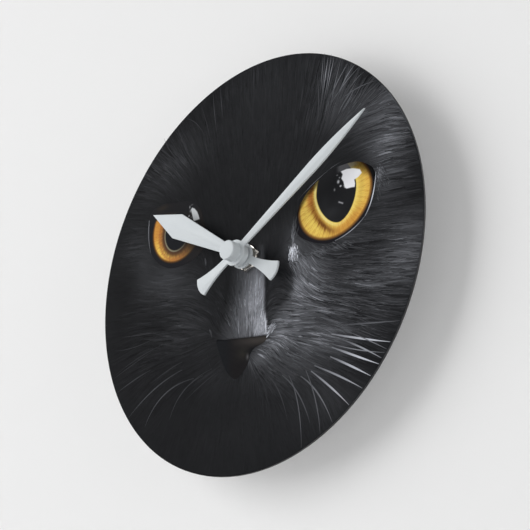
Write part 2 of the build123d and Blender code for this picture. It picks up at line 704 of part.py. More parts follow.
leaf_reach = battery_left - inner_left
with BuildPart() as contact_negative:
    with BuildSketch(Plane(origin=(inner_left, 0, battery_z - plate_half), x_dir=(1, 0, 0),
                           z_dir=(0, 0, 1))):
        strip_end = -battery_depth - bow_half - overlap
        with BuildLine():
            Polyline((leaf_thickness, -tail_layer[0] - 0.2), (leaf_thickness, strip_end),
                     (0, strip_end), (0, -tail_layer[0] - 0.2), close=True)
        make_face()
        low_inner, high_inner = -battery_depth - bow_half, -battery_depth + bow_half
        low_outer, high_outer = low_inner - overlap, high_inner + overlap
        with BuildLine():
            ThreePointArc((leaf_thickness, high_inner),
                          (leaf_reach - leaf_thickness, -battery_depth),
                          (leaf_thickness, low_inner))
            ThreePointArc((leaf_thickness, low_outer), (leaf_reach, -battery_depth),
                          (leaf_thickness, high_outer))
            Line((leaf_thickness, low_inner), (leaf_thickness, low_outer))
            Line((leaf_thickness, high_outer), (leaf_thickness, high_inner))
        make_face()
    extrude(amount=2 * plate_half)
    extrude(block(inner_left, inner_left + leaf_thickness, battery_z + plate_half - overlap,
                  board_low + 3.0, tail_layer[0]), amount=tail_width)

# battery: can and positive nub, lying along X in the bay
with BuildPart() as aa_battery:
    with BuildSketch(Plane(origin=(battery_left, -battery_depth, battery_z), x_dir=(0, 1, 0),
                           z_dir=(1, 0, 0))):
        Circle(battery_radius)
    extrude(amount=battery_length - nub_length)
    fillet(aa_battery.edges().filter_by(GeomType.CIRCLE), 0.5)
    with BuildSketch(Plane(origin=(battery_right - nub_length, -battery_depth, battery_z),
                           x_dir=(0, 1, 0), z_dir=(1, 0, 0))):
        Circle(nub_radius)
    extrude(amount=nub_length)

pieces = {
    "dial_disc": dial_disc, "rubber_washer": rubber_washer, "brass_washer": brass_washer,
    "hex_nut": hex_nut, "threaded_bush": threaded_bush, "hour_hand": hour_hand,
    "hour_collar": hour_collar, "minute_hand": minute_hand, "minute_collar": minute_collar,
    "hand_cap": hand_cap, "case_front": case_front, "case_back": case_back,
    "train_plate": train_plate, "hour_wheel": hour_wheel, "minute_wheel": minute_wheel,
    "minute_arbor": minute_arbor, "clutch_spring": clutch_spring, "centre_wheel": centre_wheel,
    "third_wheel": third_wheel, "second_wheel": second_wheel, "fifth_wheel": fifth_wheel,
    "rotor_pinion": rotor_pinion, "rotor_magnet": rotor_magnet, "stator": stator,
    "coil_core": coil_core, "coil_bobbin": coil_bobbin, "coil_winding": coil_winding,
    "circuit_board": circuit_board, "quartz_crystal": quartz_crystal, "chip_cover": chip_cover,
    "contact_positive": contact_positive, "contact_negative": contact_negative,
    "setting_knob": setting_knob, "aa_battery": aa_battery,
}
for name, piece in pieces.items():
    piece.part.label = name
    export_step(piece.part, f"parts/{name}.step")
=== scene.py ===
"""A round wall clock with a black cat's face printed on its disc, on a pale wall.

Everything is in metres, in the clock's own frame: +Z is up, the dial looks along -Y, and the
wall is the plane Y = 0. The sections follow the clock as it is put together.
"""
import bmesh
import bpy
import numpy as np
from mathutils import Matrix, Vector


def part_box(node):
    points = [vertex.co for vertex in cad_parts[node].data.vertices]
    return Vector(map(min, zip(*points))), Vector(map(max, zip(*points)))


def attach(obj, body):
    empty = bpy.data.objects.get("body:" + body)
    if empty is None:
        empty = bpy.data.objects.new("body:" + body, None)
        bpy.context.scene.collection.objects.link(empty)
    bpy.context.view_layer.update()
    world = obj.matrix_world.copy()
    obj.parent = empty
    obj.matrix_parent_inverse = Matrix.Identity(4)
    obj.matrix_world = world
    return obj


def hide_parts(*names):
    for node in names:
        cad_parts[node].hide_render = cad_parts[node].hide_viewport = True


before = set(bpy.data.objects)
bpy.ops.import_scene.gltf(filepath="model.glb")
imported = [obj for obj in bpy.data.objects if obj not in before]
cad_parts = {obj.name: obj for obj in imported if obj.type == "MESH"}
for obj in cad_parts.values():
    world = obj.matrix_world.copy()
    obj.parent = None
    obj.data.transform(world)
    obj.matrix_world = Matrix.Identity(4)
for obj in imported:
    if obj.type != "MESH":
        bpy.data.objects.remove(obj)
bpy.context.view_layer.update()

# --- camera: low and to the right of the clock, looking up at it through a long lens, with no ---
# --- shift and no depth of field ---
MM = 0.001
scene = bpy.context.scene
scene.view_settings.view_transform = "Standard"
dial_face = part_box("dial_disc")[0].y
camera_data = bpy.data.cameras.new("camera")
camera_data.lens = 101.9
camera_data.sensor_width = 36.0
camera_data.clip_start = 0.01
camera = bpy.data.objects.new("camera", camera_data)
camera.location = (0.4456, dial_face - 0.4613, -0.2673)
camera.rotation_euler = Vector((-0.6351, 0.672, 0.381)).to_track_quat("-Z", "Y").to_euler()
scene.collection.objects.link(camera)
scene.camera = camera


# --- wall and floor: matt pale paint. The wall's far side lets the eye and the lamp through, ---
# --- so the movement can be seen from behind ---
def node(tree, kind, inputs=(), **settings):
    """Shader node with its settings, and with values or links for its named inputs."""
    made = tree.nodes.new("ShaderNode" + kind)
    for key, value in settings.items():
        setattr(made, key, value)
    for key, value in dict(inputs).items():
        if isinstance(value, bpy.types.NodeSocket):
            tree.links.new(value, made.inputs[key])
        else:
            made.inputs[key].default_value = value
    return made


def grid_mesh(name, points, close_u=False, close_v=False):
    """Mesh object whose faces join neighbours in a grid of points, rows along the first axis."""
    rows, columns = points.shape[:2]
    index = np.arange(rows * columns).reshape(rows, columns)
    if close_u:
        index = np.vstack([index, index[:1]])
    if close_v:
        index = np.hstack([index, index[:, :1]])
    quads = np.stack([index[:-1, :-1], index[1:, :-1], index[1:, 1:], index[:-1, 1:]], -1)
    quads = quads.reshape(-1, 4)
    mesh = bpy.data.meshes.new(name)
    mesh.vertices.add(rows * columns)
    mesh.vertices.foreach_set("co", np.ascontiguousarray(points, np.float32).ravel())
    mesh.loops.add(quads.size)
    mesh.loops.foreach_set("vertex_index", quads.ravel().astype(np.int32))
    mesh.polygons.add(len(quads))
    mesh.polygons.foreach_set("loop_start", np.arange(0, quads.size, 4, dtype=np.int32))
    mesh.polygons.foreach_set("use_smooth", np.ones(len(quads), bool))
    mesh.update(calc_edges=True)
    mesh.validate()
    made = bpy.data.objects.new(name, mesh)
    scene.collection.objects.link(made)
    return made


def plane(name, u_range, v_range, place):
    """Flat sheet: place turns a grid of two parameters into points."""
    u, v = np.meshgrid(np.linspace(*u_range, 9), np.linspace(*v_range, 9), indexing="ij")
    return grid_mesh(name, place(u, v))


wall_gap, floor_level = 0.6 * MM, -1.2
wall = plane("wall", (-3, 3), (floor_level, 2.5),
             lambda u, v: np.stack([u, np.full_like(u, wall_gap), v], -1))
floor = plane("floor", (-3, 3), (-3, 2),
              lambda u, v: np.stack([u, v, np.full_like(u, floor_level)], -1))
wall_paint = bpy.data.materials.new("wall_paint")
wall_paint.use_nodes = True
tree = wall_paint.node_tree
paint = tree.nodes["Principled BSDF"]
paint.inputs["Base Color"].default_value = (0.83, 0.83, 0.83, 1)
paint.inputs["Roughness"].default_value = 0.9
paint.inputs["Specular IOR Level"].default_value = 0.0
clear = node(tree, "BsdfTransparent")
behind = node(tree, "NewGeometry")
ray = node(tree, "LightPath")
either = node(tree, "Math", {0: behind.outputs["Backfacing"], 1: ray.outputs["Is Shadow Ray"]},
              operation="MAXIMUM")
mix = node(tree, "MixShader", {0: either.outputs[0], 1: paint.outputs[0], 2: clear.outputs[0]})
tree.links.new(mix.outputs[0], tree.nodes["Material Output"].inputs["Surface"])
wall.data.materials.append(wall_paint)
floor_paint = bpy.data.materials.new("floor_paint")
floor_paint.use_nodes = True
paint = floor_paint.node_tree.nodes["Principled BSDF"]
paint.inputs["Base Color"].default_value = (0.8, 0.8, 0.8, 1)
paint.inputs["Roughness"].default_value = 0.8
floor.data.materials.append(floor_paint)

# --- light: a broad soft window high on the left, an even room, a weak fill from the right for ---
# --- the sides of the hands' hub, and a lamp behind for the back ---
world = bpy.data.worlds.new("room")
scene.world = world
world.use_nodes = True
world.node_tree.nodes["Background"].inputs["Color"].default_value = (1, 1, 1, 1)
world.node_tree.nodes["Background"].inputs["Strength"].default_value = 0.45


def area_light(name, place, size, power, target=(0, 0, 0)):
    """Square soft light that looks at a target."""
    data = bpy.data.lights.new(name, "AREA")
    data.size = size
    data.energy = power
    lamp = bpy.data.objects.new(name, data)
    lamp.location = place
    lamp.rotation_euler = (Vector(target) - Vector(place)).to_track_quat("-Z", "Y").to_euler()
    scene.collection.objects.link(lamp)


area_light("window", (-3.83, -3.07, 1.39), 4.75, 228)
area_light("side_fill", (2.0, -0.20, -0.30), 1.0, 10)
area_light("back_lamp", (0.9, 1.3, 0.9), 0.8, 9)


# --- movement case: two black moulded ABS shells that clip together, with a fine spark finish ---
# --- and softened edges ---
def material(name, colour, roughness, metallic=0.0, specular=0.5, grain=0.0, grain_size=MM,
             mottle=0.0, coat=0.0):
    """Opaque finish: grain is the depth of fine bumps and mottle a share of uneven tone."""
    made = bpy.data.materials.new(name)
    made.use_nodes = True
    tree = made.node_tree
    shader = tree.nodes["Principled BSDF"]
    shader.inputs["Base Color"].default_value = (*colour, 1)
    shader.inputs["Roughness"].default_value = roughness
    shader.inputs["Metallic"].default_value = metallic
    shader.inputs["Specular IOR Level"].default_value = specular
    shader.inputs["Coat Weight"].default_value = coat
    where = node(tree, "TexCoord").outputs["Object"]
    if mottle:
        broad = node(tree, "TexNoise", {"Vector": where, "Scale": 0.12 / grain_size, "Detail": 4.0})
        low = [max(0.0, c * (1 - mottle)) for c in colour]
        high = [min(1.0, c * (1 + mottle)) for c in colour]
        tint = node(tree, "Mix", data_type="RGBA")
        tree.links.new(broad.outputs["Fac"], tint.inputs["Factor"])
        tint.inputs["A"].default_value = (*low, 1)
        tint.inputs["B"].default_value = (*high, 1)
        tree.links.new(tint.outputs["Result"], shader.inputs["Base Color"])
        span = node(tree, "MapRange", {"Value": broad.outputs["Fac"], "From Min": 0.3,
                                       "From Max": 0.7, "To Min": roughness * 0.88,
                                       "To Max": min(1.0, roughness * 1.12)})
        tree.links.new(span.outputs["Result"], shader.inputs["Roughness"])
    if grain:
        noise = node(tree, "TexNoise", {"Vector": where, "Scale": 1 / grain_size, "Detail": 3.0})
        bump = node(tree, "Bump", {"Height": noise.outputs["Fac"], "Distance": grain,
                                   "Strength": 1.0})
        tree.links.new(bump.outputs["Normal"], shader.inputs["Normal"])
    return made


def paint_node(name, finish):
    """Gives a carried-over piece its finish."""
    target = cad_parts[name]
    target.data.materials.clear()
    target.data.materials.append(finish)


def softened(name, finish, body, width, segments=3):
    """The piece again with its sharp edges rounded, as moulding or tumbling leaves them."""
    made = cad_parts[name].copy()
    made.data = made.data.copy()
    made.parent = None
    made.name = name + "_soft"
    for key in list(made.keys()):
        del made[key]
    scene.collection.objects.link(made)
    bpy.context.view_layer.objects.active = made
    for other in bpy.context.selected_objects:
        other.select_set(False)
    made.select_set(True)
    bpy.ops.object.mode_set(mode="EDIT")
    bpy.ops.mesh.select_all(action="SELECT")
    bpy.ops.mesh.remove_doubles(threshold=0.002 * MM)
    bpy.ops.mesh.dissolve_limited(angle_limit=np.radians(0.4))
    bpy.ops.object.mode_set(mode="OBJECT")
    made.data.materials.clear()
    made.data.materials.append(finish)
    made.data.polygons.foreach_set("use_smooth", np.ones(len(made.data.polygons), bool))
    bevel = made.modifiers.new("edge", "BEVEL")
    bevel.width = width
    bevel.segments = segments
    bevel.limit_method = "ANGLE"
    bevel.angle_limit = np.radians(35)
    bevel.harden_normals = True
    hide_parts(name)
    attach(made, body)
    return made


black_abs = material("black_abs", (0.022, 0.022, 0.024), 0.5, grain=0.00004, grain_size=0.00035,
                     mottle=0.2)
softened("case_front", black_abs, "movement", 0.00022)
softened("case_back", black_abs, "movement", 0.00018)
paint_node("setting_knob", material("knob_abs", (0.03, 0.03, 0.032), 0.38, grain=0.00002,
                                    grain_size=0.0003, mottle=0.15))

# --- train plate and wheels: white and natural acetal mouldings, waxy and slightly uneven. The ---
# --- wheels turn on moulded pivots between the plate and the shells; a steel spring presses the ---
# --- minute arbor to its wheel ---
paint_node("train_plate", material("plate_acetal", (0.72, 0.72, 0.70), 0.45, grain=0.00002,
                                   grain_size=0.0006, mottle=0.06))
wheel_acetal = material("wheel_acetal", (0.78, 0.77, 0.70), 0.35, grain=0.00001,
                        grain_size=0.0005, mottle=0.07)
for wheel in ("hour_wheel", "minute_wheel", "centre_wheel", "third_wheel", "second_wheel",
              "fifth_wheel", "rotor_pinion"):
    paint_node(wheel, wheel_acetal)
paint_node("minute_arbor", material("arbor_acetal", (0.80, 0.80, 0.76), 0.32, grain=0.00001,
                                    grain_size=0.0004, mottle=0.05))
paint_node("clutch_spring", material("spring_steel", (0.55, 0.55, 0.57), 0.3, metallic=1.0,
                                     grain=0.00001, grain_size=0.0002, mottle=0.1))

# --- stepping motor: a sintered magnet on the rotor's pinion, an annealed iron stator and core, ---
# --- and enamelled copper wire wound on a nylon bobbin ---
paint_node("rotor_magnet", material("sintered_magnet", (0.12, 0.12, 0.125), 0.55, metallic=0.7,
                                    grain=0.00003, grain_size=0.0002, mottle=0.25))
soft_iron = material("soft_iron", (0.50, 0.50, 0.52), 0.38, metallic=1.0, grain=0.00001,
                     grain_size=0.0004, mottle=0.12)
paint_node("stator", soft_iron)
paint_node("coil_core", soft_iron)
paint_node("coil_bobbin", material("bobbin_nylon", (0.62, 0.58, 0.46), 0.5, grain=0.00001,
                                   grain_size=0.0004, mottle=0.08))
copper = bpy.data.materials.new("enamelled_wire")
copper.use_nodes = True
tree = copper.node_tree
shader = tree.nodes["Principled BSDF"]
shader.inputs["Metallic"].default_value = 1.0
shader.inputs["Roughness"].default_value = 0.3
where = node(tree, "TexCoord").outputs["Object"]
# Painted shade and highlight: the copper colour is darker in the grooves between the turns and lighter
# on their crests, as light falls on round wire.
turns = node(tree, "TexWave", {"Vector": where, "Scale": 1600.0, "Distortion": 0.6},
             wave_type="BANDS", bands_direction="X")
wire_turn_shade_and_highlight = node(tree, "ValToRGB", {"Fac": turns.outputs["Fac"]})
wire_turn_shade_and_highlight.color_ramp.elements[0].color = (0.22, 0.07, 0.02, 1)
wire_turn_shade_and_highlight.color_ramp.elements[1].color = (0.78, 0.32, 0.12, 1)
tree.links.new(wire_turn_shade_and_highlight.outputs["Color"], shader.inputs["Base Color"])
round_wire = node(tree, "Bump", {"Height": turns.outputs["Fac"], "Distance": 0.00005})
tree.links.new(round_wire.outputs["Normal"], shader.inputs["Normal"])
paint_node("coil_winding", copper)

# --- circuit: a green board with a drawn crystal can and a resin blob over its chip, fed by two ---
# --- contacts bent from nickel-plated strip ---
paint_node("circuit_board", material("solder_mask", (0.03, 0.17, 0.06), 0.35, grain=0.00001,
                                     grain_size=0.0003, mottle=0.2))
paint_node("quartz_crystal", material("drawn_can", (0.68, 0.68, 0.70), 0.22, metallic=1.0,
                                      grain=0.000005, grain_size=0.0002, mottle=0.08))
paint_node("chip_cover", material("chip_resin", (0.012, 0.012, 0.013), 0.18, grain=0.00001,
                                  grain_size=0.0006, mottle=0.2))
nickel = material("nickel_strip", (0.66, 0.64, 0.58), 0.28, metallic=1.0, grain=0.00001,
                  grain_size=0.0003, mottle=0.1)
paint_node("contact_positive", nickel)
paint_node("contact_negative", nickel)

# --- battery: a steel can in a plain printed sleeve, with crimped ends and a raised nub, held ---
# --- between the two contacts ---
battery_low, battery_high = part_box("aa_battery")
can_radius = (battery_high.z - battery_low.z) / 2
can_middle = np.array([0, (battery_low.y + battery_high.y) / 2,
                       (battery_low.z + battery_high.z) / 2])


def lathe(name, profile, centre, axis, sides=96):
    """Closed surface of revolution: a profile of (along, radius) turned about an axis."""
    along, radius = np.array(profile, float).T
    angle = -np.linspace(0, 2 * np.pi, sides, endpoint=False)
    ring = np.stack([radius[:, None] * np.cos(angle), radius[:, None] * np.sin(angle)], -1)
    points = np.zeros((len(along), sides, 3))
    if axis == "X":
        points[..., 0] = along[:, None]
        points[..., 1], points[..., 2] = ring[..., 0], ring[..., 1]
    else:
        points[..., 1] = along[:, None]
        points[..., 2], points[..., 0] = ring[..., 0], ring[..., 1]
    return grid_mesh(name, points + np.asarray(centre), close_v=True)


def rounded(corners, radius, steps=5):
    """Profile through corners of (along, radius), each inner corner turned as a small arc."""
    corners = np.array(corners, float)
    out = [corners[:1]]
    for before, corner, after in zip(corners[:-2], corners[1:-1], corners[2:]):
        reach_in = min(radius, 0.45 * np.linalg.norm(corner - before))
        reach_out = min(radius, 0.45 * np.linalg.norm(after - corner))
        start = corner + (before - corner) / np.linalg.norm(corner - before) * reach_in
        end = corner + (after - corner) / np.linalg.norm(after - corner) * reach_out
        t = np.linspace(0, 1, steps)[:, None]
        out.append((1 - t) ** 2 * start + 2 * t * (1 - t) * corner + t ** 2 * end)
    out.append(corners[-1:])
    return np.vstack(out)


nub_radius, nub_length = 2.75 * MM, 1.25 * MM
left, right = battery_low.x, battery_high.x - nub_length
sleeve = [(left, 0), (left, 5.6 * MM), (left + 0.25 * MM, 6.0 * MM), (left + 0.1 * MM, can_radius),
          (right - 0.1 * MM, can_radius), (right - 0.3 * MM, 6.2 * MM), (right, 5.8 * MM),
          (right, nub_radius), (battery_high.x, nub_radius), (battery_high.x, 0)]
battery = lathe("battery_cell", rounded(sleeve, 0.35 * MM), can_middle, "X")
cell_skin = bpy.data.materials.new("cell_skin")
cell_skin.use_nodes = True
tree = cell_skin.node_tree
shader = tree.nodes["Principled BSDF"]
where = node(tree, "TexCoord").outputs["Object"]
place = node(tree, "SeparateXYZ", {0: where})
band = node(tree, "ValToRGB", {"Fac": node(tree, "MapRange", {
    "Value": place.outputs["X"], "From Min": left, "From Max": right}).outputs["Result"]})
band.color_ramp.interpolation = "CONSTANT"
stops = band.color_ramp.elements
bare_steel, dark_sleeve, copper_sleeve = (
    (0.6, 0.6, 0.6, 1), (0.035, 0.045, 0.06, 1), (0.55, 0.30, 0.10, 1))
stops[1].position, stops[1].color = 0.985, bare_steel
for position, tone in ((0.012, dark_sleeve), (0.70, copper_sleeve)):
    stops.new(position).color = tone
stops[0].color = bare_steel
tree.links.new(band.outputs["Color"], shader.inputs["Base Color"])
scuff = node(tree, "TexNoise", {"Vector": where, "Scale": 400.0, "Detail": 6.0})
worn = node(tree, "MapRange", {"Value": scuff.outputs["Fac"], "To Min": 0.22, "To Max": 0.42})
tree.links.new(worn.outputs["Result"], shader.inputs["Roughness"])
shader.inputs["Metallic"].default_value = 0.75
battery.data.materials.append(cell_skin)
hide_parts("aa_battery")
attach(battery, "battery")

# --- fixings on the shaft: a rubber washer behind the dial, and in front of it a thin washer and ---
# --- a hexagon nut on the threaded bush, turned from brass and nickel-plated ---
paint_node("rubber_washer", material("black_rubber", (0.02, 0.02, 0.02), 0.85, specular=0.3,
                                     grain=0.00002, grain_size=0.0003, mottle=0.2))
bright_nickel = material("bright_nickel", (0.80, 0.76, 0.71), 0.14, metallic=1.0, grain=0.000004,
                        grain_size=0.0003, mottle=0.08)
softened("brass_washer", bright_nickel, "movement", 0.00008)
softened("hex_nut", bright_nickel, "movement", 0.00012)
paint_node("threaded_bush", bright_nickel)

# --- dial: thin sheet disc, its back left plain white, its cut edge inked where the print runs ---
# --- over it ---
paint_node("dial_disc", material("sheet_back", (0.62, 0.62, 0.62), 0.35, grain=0.00001,
                                 grain_size=0.0008, mottle=0.04))
dial_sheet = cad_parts["dial_disc"]
dial_sheet.data.materials.append(material("inked_edge", (0.035, 0.035, 0.037), 0.6, specular=0.2,
                                          mottle=0.2))
for face in dial_sheet.data.polygons:
    if abs(face.normal.y) < 0.95 and np.hypot(face.center.x, face.center.z) > 50 * MM:
        face.material_index = 1

# --- dial print: a printed picture of a black cat's face on the front of the sheet, lit from ---
# --- the right, laid down as a smooth ground of greys with every hair and whisker drawn over it ---
LIGHT_LEVEL, GLOSS_SHARE = 0.96, 0.007


def paint_value(screen):
    """Reflectance that shows as the given 0-255 screen colour: the sRGB curve undone, then eased
    by the light that falls on the dial and by the faint gloss of the print."""
    s = np.clip(np.asarray(screen, float), 0, 255) / 255
    linear = np.where(s < 0.04045, s / 12.92, ((s + 0.055) / 1.055) ** 2.4)
    return np.clip(linear / LIGHT_LEVEL - GLOSS_SHARE, 0.002, 0.95)


def grey(tone):
    """Slightly blue grey of the black coat at a given tone."""
    return np.asarray(tone, float)[..., None] * np.array([0.97, 0.985, 1.03])


def step(low, high, value):
    """Smooth step: 0 below low, 1 above high, and the cubic 3t^2 - 2t^3 between."""
    t = np.clip((np.asarray(value, float) - low) / (high - low), 0, 1)
    return t * t * (3 - 2 * t)


def over(below, above, share):
    """Ink laid over ink: a straight mix by share."""
    return below * (1 - share[..., None]) + np.asarray(above, float) * share[..., None]


def inside(x, z, outline, soft):
    """Share inside a closed outline: distance to the nearest edge, signed by how many edges a
    ray crosses, run through a smooth step of the given width."""
    nearest = np.full(np.shape(x), 1e9)
    odd = np.zeros(np.shape(x), bool)
    corners = np.array(outline, float)
    for (ax, az), (bx, bz) in zip(corners, np.roll(corners, -1, 0)):
        t = np.clip(((x - ax) * (bx - ax) + (z - az) * (bz - az))
                    / ((bx - ax) ** 2 + (bz - az) ** 2), 0, 1)
        nearest = np.minimum(nearest, np.hypot(x - ax - t * (bx - ax), z - az - t * (bz - az)))
        if az != bz:
            odd ^= ((az > z) != (bz > z)) & (x < (bx - ax) * (z - az) / (bz - az) + ax)
    return step(-soft, soft, np.where(odd, nearest, -nearest))


def smooth_loop(points, count):
    """Closed curve through points, anticlockwise: on each span the cubic whose end slopes are
    half the chord between the neighbours."""
    p = np.array(points, float)
    turned = np.roll(p, -1, 0)
    if np.sum(p[:, 0] * turned[:, 1] - turned[:, 0] * p[:, 1]) < 0:
        p = p[::-1]
    t = np.linspace(0, len(p), count, endpoint=False)
    i = t.astype(int)
    f = (t - i)[:, None]
    a, b, c, d = (p[(i + k) % len(p)] for k in (-1, 0, 1, 2))
    return 0.5 * (2 * b + (c - a) * f + (2 * a - 5 * b + 4 * c - d) * f ** 2
                  + (3 * b - a - 3 * c + d) * f ** 3)


# Lit patches of the coat, in millimetres from the centre: x, z, half-width, half-height, tone.
coat_patches = (
    (-46, 68, 26, 13, 15), (-66, 58, 14, 9, 6), (-30, 68, 14, 14, -4), (20, 86, 34, 26, 8),
    (4, 84, 12, 16, 3), (60, 66, 17, 24, 22), (50, 58, 12, 9, 9), (66, 48, 10, 7, 8),
    (72, 74, 13, 11, -15),
    (14, 46, 24, 18, 4), (84, 42, 15, 20, 44), (78, 31, 9, 7, 17), (84, 18, 9, 11, 20),
    (79, 12, 5, 8, 16),
    (92, -22, 14, 16, 40), (74, -28, 16, 8, 16), (62, -24, 8, 8, 16), (68, -31, 8, 6, 10),
    (64, -4, 20, 9, 20), (33, -15, 12, 11, 46), (37, -27, 15, 12, 34), (27, -29, 9, 10, 20),
    (22, -41, 11, 7, 37), (17, -36, 8, 6, 18), (14, -46, 9, 5, 26), (6, -49.5, 6, 4, 30),
    (44, -44, 14, 10, 26), (50, -50, 12, 5, 16), (28, -55, 26, 10, 29), (10, -82, 40, 16, 4),
    (78, -44, 12, 10, 16),
    (46, -76, 18, 12, 13), (27, 5, 6, 8, 24), (12, 5, 12, 8, 10), (28, -2, 6, 4, 24),
    (-58, 7, 12, 8, 21), (-50, -3, 14, 9, 18), (-72, 18, 7, 14, 15), (-44, -24, 17, 10, 9),
    (-82, 30, 8, 12, 11), (-36, -8, 8, 8, 7), (-22, -54, 9, 7, 7), (38, 32, 12, 8, 6),
    (-30, -34, 8, 10, 4), (-88, 5, 8, 22, -4), (-64, -18, 12, 8, -4))
# How strongly single hairs show, over the same kind of patches.
sheen_patches = (
    (-58, 66, 26, 16, 0.15), (-50, -20, 28, 24, 0.14), (-76, 32, 10, 14, 0.09),
    (58, 66, 24, 22, 0.20), (84, 34, 15, 22, 0.19), (60, -30, 44, 32, 0.23),
    (12, -44, 16, 14, 0.13), (-2, -24, 13, 16, 0.10), (-10, 92, 34, 9, 0.06))
shade_wedge = ((10.6, -12), (19, -6), (24, -8), (27, -14), (26.5, -22), (22, -27), (17, -29.5),
               (13.5, -33), (11.5, -36), (10.4, -30))


def bells(x, z, patches):
    """Sum of the patches' bell-shaped bumps, each its height times e to minus 0.9 r squared."""
    total = np.zeros(np.shape(x))
    for px, pz, wide, high, height in patches:
        total = total + height * np.exp(-0.9 * (((x - px) / wide) ** 2 + ((z - pz) / high) ** 2))
    return total


def coat_tone(x, z):
    """Grey level of the coat: near-black, plus the lit patches, plus the nose bridge, which
    rises evenly from its left side, stops short at its right and ends above the leather, less
    the shade beside it."""
    shade = inside(x, z, shade_wedge, 1.6)
    lit = bells(x, z, coat_patches) * (1 - 0.85 * shade) + 9 * shade
    lit = lit * (1 - step(-2, 2, x) * step(13, 9.5, x) * step(4, -4, z) * step(-44, -37, z))
    left = np.interp(z, (-38, -31, -22, -10, 6), (-24, -21.5, -17, -14.5, -11))
    peak = np.interp(z, (-38, -28, -22, -10, -2, 6), (82, 96, 108, 90, 64, 0))
    right = 9.4 + 0.16 * np.maximum(0, -26 - z)
    bridge = peak * np.clip((x - left) / (3 - left), 0, 1) ** 1.1
    bridge = bridge + 46 * np.exp(-((x - 6.8) / 3.2) ** 2 - ((z + 36) / 5) ** 2)
    return 34.5 + lit + bridge * step(right + 1.2, right - 1.4, x) * step(-39.0, -37.6, z + 0.16 * x)


def ink_material(name, roughness, specular):
    """Printed ink: its colour comes from the piece's ink attribute, and its gloss is uneven."""
    made = bpy.data.materials.new(name)
    made.use_nodes = True
    tree = made.node_tree
    shader = tree.nodes["Principled BSDF"]
    shader.inputs["Specular IOR Level"].default_value = specular
    ink = node(tree, "Attribute", attribute_name="ink")
    tree.links.new(ink.outputs["Color"], shader.inputs["Base Color"])
    where = node(tree, "TexCoord").outputs["Object"]
    cloud = node(tree, "TexNoise", {"Vector": where, "Scale": 90.0, "Detail": 5.0})
    span = node(tree, "MapRange", {"Value": cloud.outputs["Fac"], "To Min": roughness * 0.85,
                                   "To Max": roughness * 1.15})
    tree.links.new(span.outputs["Result"], shader.inputs["Roughness"])
    return made


def set_ink(piece, screen):
    """Writes the ink attribute, one colour a vertex."""
    values = np.ones((len(piece.data.vertices), 4), np.float32)
    values[:, :3] = paint_value(screen).reshape(-1, 3)
    piece.data.color_attributes.new("ink", "FLOAT_COLOR", "POINT").data.foreach_set(
        "color", values.ravel())


def on_dial(piece, finish):
    """Fixes a printed piece to the dial."""
    piece.data.materials.append(finish)
    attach(piece, "movement")
    return piece


def close_middle(piece, count):
    """Fills the small hole inside the innermost ring with one flat face of count corners."""
    shape = bmesh.new()
    shape.from_mesh(piece.data)
    shape.verts.ensure_lookup_table()
    shape.faces.new([shape.verts[i] for i in range(count)])
    shape.to_mesh(piece.data)
    shape.free()


def printed_patch(name, outline, centre, rings, lift, ink, finish):
    """Printed area: rings shrink the outline evenly towards the centre, and one more ring drops
    its edge to the sheet. ink gives each point's colour from x and z in millimetres."""
    share = np.linspace(0.004, 1, rings)[:, None, None]
    flat = np.asarray(centre, float) + share * (outline - np.asarray(centre, float))
    flat = np.concatenate([flat, flat[-1:]])
    x, z = flat[..., 0], flat[..., 1]
    depth = np.full(x.shape, dial_face - lift * MM)
    depth[-1] = dial_face
    piece = grid_mesh(name, np.stack([x * MM, depth, z * MM], -1), close_v=True)
    set_ink(piece, ink(x, z))
    close_middle(piece, len(outline))
    return on_dial(piece, finish)


print_finish = ink_material("dial_ink", 0.55, 0.02)
angle = np.linspace(0, 2 * np.pi, 400, endpoint=False)
# Millimetres: how far out the ground and the hairs reach, and how high each layer stands.
print_radius, hair_radius = 101.5, 101.2
ground_lift, muzzle_lift, feature_lift, whisker_lift = 0.010, 0.015, 0.050, 0.056
dial_outline = print_radius * np.stack([np.cos(angle), np.sin(angle)], -1)
printed_patch("dial_print", dial_outline, (0, 0), 110, ground_lift,
              lambda x, z: grey(coat_tone(x, z)), print_finish)
# The muzzle is printed again on a finer grid, because its light changes over a few millimetres.
printed_patch("muzzle_print", smooth_loop(
    ((-26, -8), (-20, 1), (0, 5), (16, 8), (28, 8), (33, 2), (32, -12), (29, -24), (19, -32),
     (16, -38), (14, -43), (3, -50), (-10, -58), (-22, -52), (-28, -38), (-28, -22)), 420),
    (0, -20), 110, muzzle_lift, lambda x, z: grey(coat_tone(x, z)), print_finish)

# --- fur: the coat's hairs, printed as fine tapering strokes that follow the lie of the coat ---
# --- from the brow out over the cheeks. Hairs of one lock share a tone and a slant ---
lie_points = np.array((
    (0, 90, 92), (0, 60, 90), (0, 30, 90), (-20, 80, 97), (-25, 50, 100), (25, 80, 86),
    (25, 50, 82), (-45, 80, 118), (-60, 65, 140), (-75, 50, 160), (-50, 55, 130), (-85, 35, 170),
    (-80, 25, 168), (-60, 0, 165), (-60, -20, 170), (-85, 0, 175), (-30, -20, 150), (-32, -35, 190),
    (-22, -25, 118),
    (0, -10, 90), (0, -30, 88), (0, -80, 270), (-40, -75, 250), (-70, -55, 215), (40, -85, 290),
    (-85, -30, 190), (20, -50, 310), (30, -40, -10), (20, -38, -12), (25, -55, -30),
    (30, -10, -60), (35, -20, -45), (50, -20, -25), (60, -15, -15), (75, -10, -12),
    (80, -25, -12), (90, -25, -15), (85, 15, -8), (85, 35, -12), (45, 60, 75), (55, 75, 68),
    (62, 88, 62), (65, 62, 50), (78, 60, 25), (88, 45, -15), (72, 45, -5), (60, 38, 5),
    (92, 10, -10), (20, 15, 97), (25, 35, 80), (-20, 10, 100), (-25, 25, 110), (-45, 2, 172),
    (-70, 12, 150), (-20, -45, 200), (-10, -65, 260), (55, -50, -25), (70, -60, -30)), float)
chance = np.random.default_rng(11)


